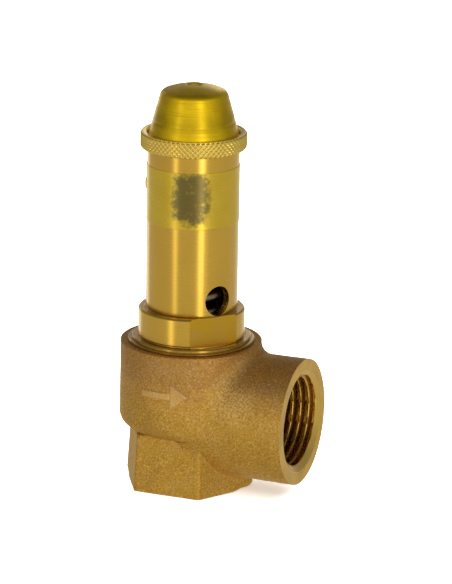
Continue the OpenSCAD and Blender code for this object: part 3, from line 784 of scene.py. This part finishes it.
def make_pin(mats):
    """Locking pin with a slightly domed, peened head."""
    top = TUBE_R + 0.4
    dome = [(PIN_R * math.cos(a), top - 0.35 + 0.35 * math.sin(a)) for a in np.linspace(0.15, math.pi / 2, 7)]
    profile = [(0, 7.85), (PIN_R, 7.85), (PIN_R, top - 0.35)] + dome
    obj = turned_piece("locking_pin_head", profile, 48, [mats["knob"]])
    return aim_along(obj, PIN_AZ, PIN_Z)


def make_knob(mats):
    """Knob: diamond-knurled ring, recess on top and threaded hub below."""
    low, high, r, c = 72.7, 76.0, 11.15, 0.30
    diamonds, row = 66, 1.08

    def knurl(theta, rr, z):
        a = np.mod(diamonds * theta / (2 * math.pi) + z / row, 1.0)
        b = np.mod(diamonds * theta / (2 * math.pi) - z / row, 1.0)
        tri = np.minimum(1 - np.abs(2 * a - 1), 1 - np.abs(2 * b - 1))
        depth = 0.30 * (1 - np.clip(tri * 1.15, 0, 1))
        return np.where((rr > r - 0.2) & (z > low + 0.05) & (z < high - 0.05), -depth, 0)

    outer = [(r - c, low), (r - 0.09, low + c * 0.7), (r, low + c)]
    outer += [(r, float(z)) for z in np.linspace(low + c + 0.09, high - c - 0.09, 26)]
    outer += [(r, high - c), (r - 0.09, high - c * 0.7), (r - c, high)]
    thread = []
    for i in range(7):
        z = 67.7 + i * 0.75
        thread += [(7.85, z + 0.1), (7.5, z + 0.37)]
    profile = [(2.35, 67.6), (2.55, 67.4), (7.5, 67.4)] + thread + [(7.6, 72.6), (7.7, low)] + outer
    profile += [(9.95, high), (9.8, high - 0.15), (9.8, 74.2), (9.6, 74.0), (2.55, 74.0), (2.35, 73.8)]
    return turned_piece("knurled_lifting_knob", profile, 660, [mats["knob"]], shift=knurl, degrees=50)


def make_cap(mats):
    """Domed cap: conical side with a burnished line, rounded shoulder, low roof and a dimple."""
    base_r, top_r, base_z, shoulder_z, apex = 9.5, 7.05, 75.05, 84.0, 85.95

    def side(z):
        return base_r + (top_r - base_r) * (z - base_z) / (shoulder_z - base_z)

    profile = [(side(75.05) - 0.15, 75.05), (side(75.15), 75.2)]
    profile += [(side(z) + 0.02 * math.sin(math.pi * (z - 75) / 9), z) for z in np.linspace(75.6, 78.2, 5)]
    profile += [(side(78.33) - 0.015, 78.33), (side(78.46) + 0.012, 78.46)]
    profile += [(side(z) + 0.03 * math.sin(math.pi * (z - 75) / 9), z) for z in np.linspace(79.0, 82.6, 6)]
    shoulder = 1.7
    lean = math.atan2(base_r - top_r, shoulder_z - base_z)
    fall = (apex - 84.75) / 6.3 ** 2
    low, high = 3.0, 6.6
    for _ in range(40):
        r = (low + high) / 2
        tilt = math.atan(2 * fall * r)
        cx, cz = r - shoulder * math.sin(tilt), apex - fall * r * r - shoulder * math.cos(tilt)
        gap = math.cos(lean) * (cx - base_r) + math.sin(lean) * (cz - base_z) + shoulder
        low, high = (r, high) if gap < 0 else (low, r)
    for a in np.linspace(lean, math.pi / 2 - tilt, 11):
        profile.append((cx + shoulder * math.cos(a), cz + shoulder * math.sin(a)))
    for r in np.linspace(r - 0.4, 1.95, 9):
        profile.append((float(r), apex - fall * r * r))
    # dimple round the spindle's tip, the boss inside the roof, and the inner wall
    profile += [(1.75, apex - 0.10), (1.62, apex - 0.16), (1.42, apex - 0.42), (1.42, 84.66), (2.02, 84.6)]
    profile += [(2.02, 80.2), (3.4, 80.2), (3.4, 83.2), (5.4, 83.5), (side(83) - 1.15, 82.9)]
    profile += [(side(76) - 1.1, 76.0), (side(75.05) - 1.1, 75.05)]
    return turned_piece("domed_cap", profile, 224, [mats["cap"]], degrees=38)


def make_spring(mats, name, first, last):
    """One length of the spring's wire, from height first to height last, cut square at both."""
    rings, sides = 40, 16
    low, top = SPRING_LOW + WIRE_D / 2, SPRING_TOP - WIRE_D / 2
    us = np.linspace(0, TURNS, int(rings * TURNS) + 1)
    mid = low + WIRE_D + (us - 1) * (top - low - 2 * WIRE_D) / (TURNS - 2)
    zc = np.where(us < 1, low + WIRE_D * us, np.where(us > TURNS - 1, top - WIRE_D * (TURNS - us), mid))
    keep = (zc >= first) & (zc <= last)
    us, zc = us[keep], zc[keep]
    a = 2 * math.pi * us
    b = np.arange(sides) * 2 * math.pi / sides
    rr = COIL_R + WIRE_D / 2 * np.cos(b)[None, :]
    zz = zc[:, None] + WIRE_D / 2 * np.sin(b)[None, :] + 0 * rr
    verts = np.stack([rr * np.cos(a)[:, None], rr * np.sin(a)[:, None], zz], -1).reshape(-1, 3)
    n = len(us)
    faces = []
    for i in range(n - 1):
        here, ahead = i * sides, (i + 1) * sides
        for j in range(sides):
            k = (j + 1) % sides
            faces.append((here + j, ahead + j, ahead + k, here + k))
    faces += [tuple(range(sides))[::-1], tuple((n - 1) * sides + j for j in range(sides))]
    return piece_from(name, verts, faces, [mats["spring"]], 50)


# ---------- stage ----------

CAM_AZ, CAM_EL, CAM_ROLL = 21.86, 16.08, 0.87
CAM_DISTANCE, PX_PER_MM = 800.0, 4.77
IMAGE_H, SENSOR = 584, 36
AIM_RIGHT, AIM_UP = 7.16, 41.33
FLOOR_DROP = -0.05


def make_camera():
    a, e, roll = (math.radians(v) for v in (CAM_AZ, CAM_EL, CAM_ROLL))
    back = Vector((math.sin(a) * math.cos(e), -math.cos(a) * math.cos(e), math.sin(e)))
    right = Vector((math.cos(a), math.sin(a), 0))
    up = back.cross(right)
    aim = right * AIM_RIGHT * MM + Vector((0, 0, AIM_UP * MM))
    side = right * math.cos(roll) + up * math.sin(roll)
    top = up * math.cos(roll) - right * math.sin(roll)
    data = bpy.data.cameras.new("camera")
    data.sensor_width = SENSOR
    data.lens = PX_PER_MM * CAM_DISTANCE / IMAGE_H * SENSOR
    data.clip_start, data.clip_end = 0.05, 20
    cam = bpy.data.objects.new("camera", data)
    turn = Matrix((side, top, back)).transposed().to_4x4()
    cam.matrix_world = Matrix.Translation(aim + back * CAM_DISTANCE * MM) @ turn
    bpy.context.scene.collection.objects.link(cam)
    bpy.context.scene.camera = cam


def make_floor():
    n, half = 24, 4.0
    row = n + 1
    verts = [((i / n - 0.5) * 2 * half, (j / n - 0.5) * 2 * half, FLOOR_DROP * MM)
             for i in range(row) for j in range(row)]
    corners = [i * row + j for i in range(n) for j in range(n)]
    faces = [(c, c + row, c + row + 1, c + 1) for c in corners]
    mesh = bpy.data.meshes.new("floor")
    mesh.from_pydata(verts, [], faces)
    mat, tree, bsdf, obj = shader("floor_paper")
    fibre = noise(tree, obj, 40, 3)
    link(tree, ramp(tree, fibre, [(0.3, (0.93, 0.93, 0.93)), (0.7, (0.96, 0.96, 0.96))]), bsdf, "Base Color")
    bsdf.inputs["Roughness"].default_value = 0.9
    bsdf.inputs["Specular IOR Level"].default_value = 0.0
    bsdf.inputs["Emission Color"].default_value = (1, 1, 1, 1)
    bsdf.inputs["Emission Strength"].default_value = 0.4
    mesh.materials.append(mat)
    floor = bpy.data.objects.new("floor", mesh)
    bpy.context.scene.collection.objects.link(floor)
    floor.visible_glossy = False
    floor.visible_shadow = False


def softbox(name, azimuth, elevation, distance, size, power):
    """A square soft lamp aimed at the middle of the valve."""
    data = bpy.data.lights.new(name, "AREA")
    data.size = size
    data.energy = power
    lamp = bpy.data.objects.new(name, data)
    a, e = math.radians(azimuth), math.radians(elevation)
    back = Vector((math.sin(a) * math.cos(e), -math.cos(a) * math.cos(e), math.sin(e)))
    lamp.location = Vector((0, 0, 0.045)) + back * distance
    lamp.rotation_mode = "QUATERNION"
    lamp.rotation_quaternion = back.to_track_quat("Z", "Y")
    bpy.context.scene.collection.objects.link(lamp)
    return lamp


def hump(tree, angle, centre, width, height):
    """A soft bright strip standing at one azimuth."""
    off = math_node(tree, "SUBTRACT", angle, math.radians(centre))
    off = math_node(tree, "WRAP", off, math.pi)
    # the wrap's lower end
    tree.nodes[-1].inputs[2].default_value = -math.pi
    off = math_node(tree, "DIVIDE", off, math.radians(width))
    off = math_node(tree, "MULTIPLY", math_node(tree, "MULTIPLY", off, off), -1.0)
    return math_node(tree, "MULTIPLY", math_node(tree, "EXPONENT", off), height)


def make_world():
    """Light tent: pale table, even front, dark roof and back wall, and tall soft strips."""
    world = bpy.data.worlds.new("studio")
    world.use_nodes = True
    tree = world.node_tree
    back = tree.nodes["Background"]
    coord = tree.nodes.new("ShaderNodeTexCoord")
    split = tree.nodes.new("ShaderNodeSeparateXYZ")
    tree.links.new(coord.outputs["Generated"], split.inputs[0])
    high = split.outputs["Z"]
    facing = coord.outputs["Generated"]
    across, towards = (dot(tree, facing, direction(CAM_AZ + turn)) for turn in (90, 0))
    angle = math_node(tree, "ARCTAN2", across, towards)
    front = remap(tree, towards, -1, 1, 0, 1)
    table = remap(tree, front, 0.02, 0.18, 0.72, 0.45)
    wall = remap(tree, front, 0.45, 0.97, 0.24, 0.80)
    roof = remap(tree, front, 0.0, 1.0, 0.12, 0.165)
    level = lerp(tree, remap(tree, high, -0.13, 0.0, 0, 1), table, wall)
    level = lerp(tree, remap(tree, high, 0.48, 0.88, 0, 1), level, roof)
    level = math_node(tree, "MULTIPLY", level, remap(tree, across, -1, -0.2, 0.92, 1))
    strips = hump(tree, angle, 23, 7.0, 1.7)
    for centre, width, height in ((-44, 5.0, 0.95), (172, 8, 0.8), (-150, 6, 0.6)):
        strips = math_node(tree, "ADD", strips, hump(tree, angle, centre, width, height))
    strips = math_node(tree, "MULTIPLY", strips, remap(tree, high, 0.28, 0.50, 1, 0))
    strips = math_node(tree, "MULTIPLY", strips, remap(tree, high, -0.62, -0.42, 0.25, 1))
    level = math_node(tree, "ADD", level, strips)
    tree.links.new(blend_colors(tree, 1.0, (1.0, 0.985, 0.96), level, "MULTIPLY"), back.inputs["Color"])
    back.inputs["Strength"].default_value = 1.0
    bpy.context.scene.world = world


def make_lights():
    lamps = (("left_lamp", -115, 48, 62.0), ("right_lamp", 100, 48, 62.0), ("front_lamp", 0, 55, 40.0))
    for name, azimuth, elevation, power in lamps:
        lamp = softbox(name, CAM_AZ + azimuth, elevation, 1.8, 1.4, power)
        lamp.visible_glossy = False


# ---------- assembly ----------

def placed(obj, body, slot, *nodes):
    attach(obj, body)
    if nodes:
        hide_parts(*nodes)
    return obj


def paint(nodes, mat):
    for name in nodes:
        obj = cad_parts[name]
        if not obj.material_slots:
            obj.data.materials.append(mat)
        for s in obj.material_slots:
            s.material = mat


make_camera()
make_floor()
make_world()
make_lights()

# the tube's brass carries painted shade in the bonnet's corners
tube_mat = turned_brass("turned_brass_tube", (0.95, 0.58, 0.07), 0.24, 0.6, painted_shade=True)
brass_mat = turned_brass("turned_brass_inner", (0.88, 0.58, 0.12), 0.30, 0.3)
mats = {
    "cast": cast_bronze(),
    "faced_x": faced_brass("faced_outlet", (1.0, 0.64, 0.13), True),
    "faced_z": faced_brass("faced_inlet", (0.85, 0.56, 0.16), False),
    "rim": cast_bronze("cast_bronze_rim"),
    # cast bronze lightened as a painted highlight, for the raised arrow
    "painted_highlight": cast_bronze("cast_bronze_painted_highlight", 0.5),
    "bore": bored_brass(),
    "thread_z": thread_brass("thread_inlet", False),
    "thread_x": thread_brass("thread_outlet", True),
    "tube": tube_mat,
    "flat": faced_brass("milled_flat", (0.74, 0.44, 0.03), False),
    "knob": turned_brass("knurled_brass", (1.0, 0.73, 0.14), 0.24, 0.0, coat=0.35),
    "cap": polished_brass(),
    "label": label_film(),
    # dark steel wire, darkened further as painted shade for the dim inside of the tube
    "spring": steel("spring_wire", (0.26, 0.24, 0.23), 0.36),
}

placed(make_body(mats), "valve_body", "cast_bronze", "body_casting")
placed(make_arrow(mats), "valve_body", "cast_bronze", "body_casting")
placed(make_bonnet(mats), "valve_body", "turned_brass", "bonnet")
placed(make_label(mats), "valve_body", "label_film", "label_film")
placed(make_pin(mats), "valve_body", "turned_brass", "locking_pin")
placed(make_knob(mats), "knob", "turned_brass", "lifting_knob")
placed(make_cap(mats), "spindle_group", "polished_brass", "cap")

middle = (SPRING_LOW + SPRING_TOP) / 2
# The spring is split at its middle height; the upper half is attached to the valve body and the lower half to
# the thrust washer (slides of 1.5 mm and 3.0 mm).
upper = placed(make_spring(mats, "spring_upper_coils", middle, SPRING_TOP),
               "valve_body", "spring_steel", "spring")
lower = placed(make_spring(mats, "spring_lower_coils", SPRING_LOW, middle),
               "thrust_washer", "spring_steel", "spring")
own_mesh(upper)
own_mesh(lower)

brass_nodes = ["guide_bush", "disc_holder", "lower_spring_plate", "upper_spring_plate"]
brass_nodes += ["adjusting_screw", "lock_nut", "spindle"]
steel_nodes = ["seal_washer", "seal_nut", "spindle_clip", "lift_washer", "cap_nut"]
rubber_nodes = ["bonnet_seal_ring", "spindle_seal_ring", "disc_seal"]
paint(brass_nodes, brass_mat)
paint(steel_nodes, steel("turned_steel", (0.60, 0.60, 0.60), 0.28))
paint(rubber_nodes, seal_rubber())

bpy.context.scene.view_settings.view_transform = "Standard"
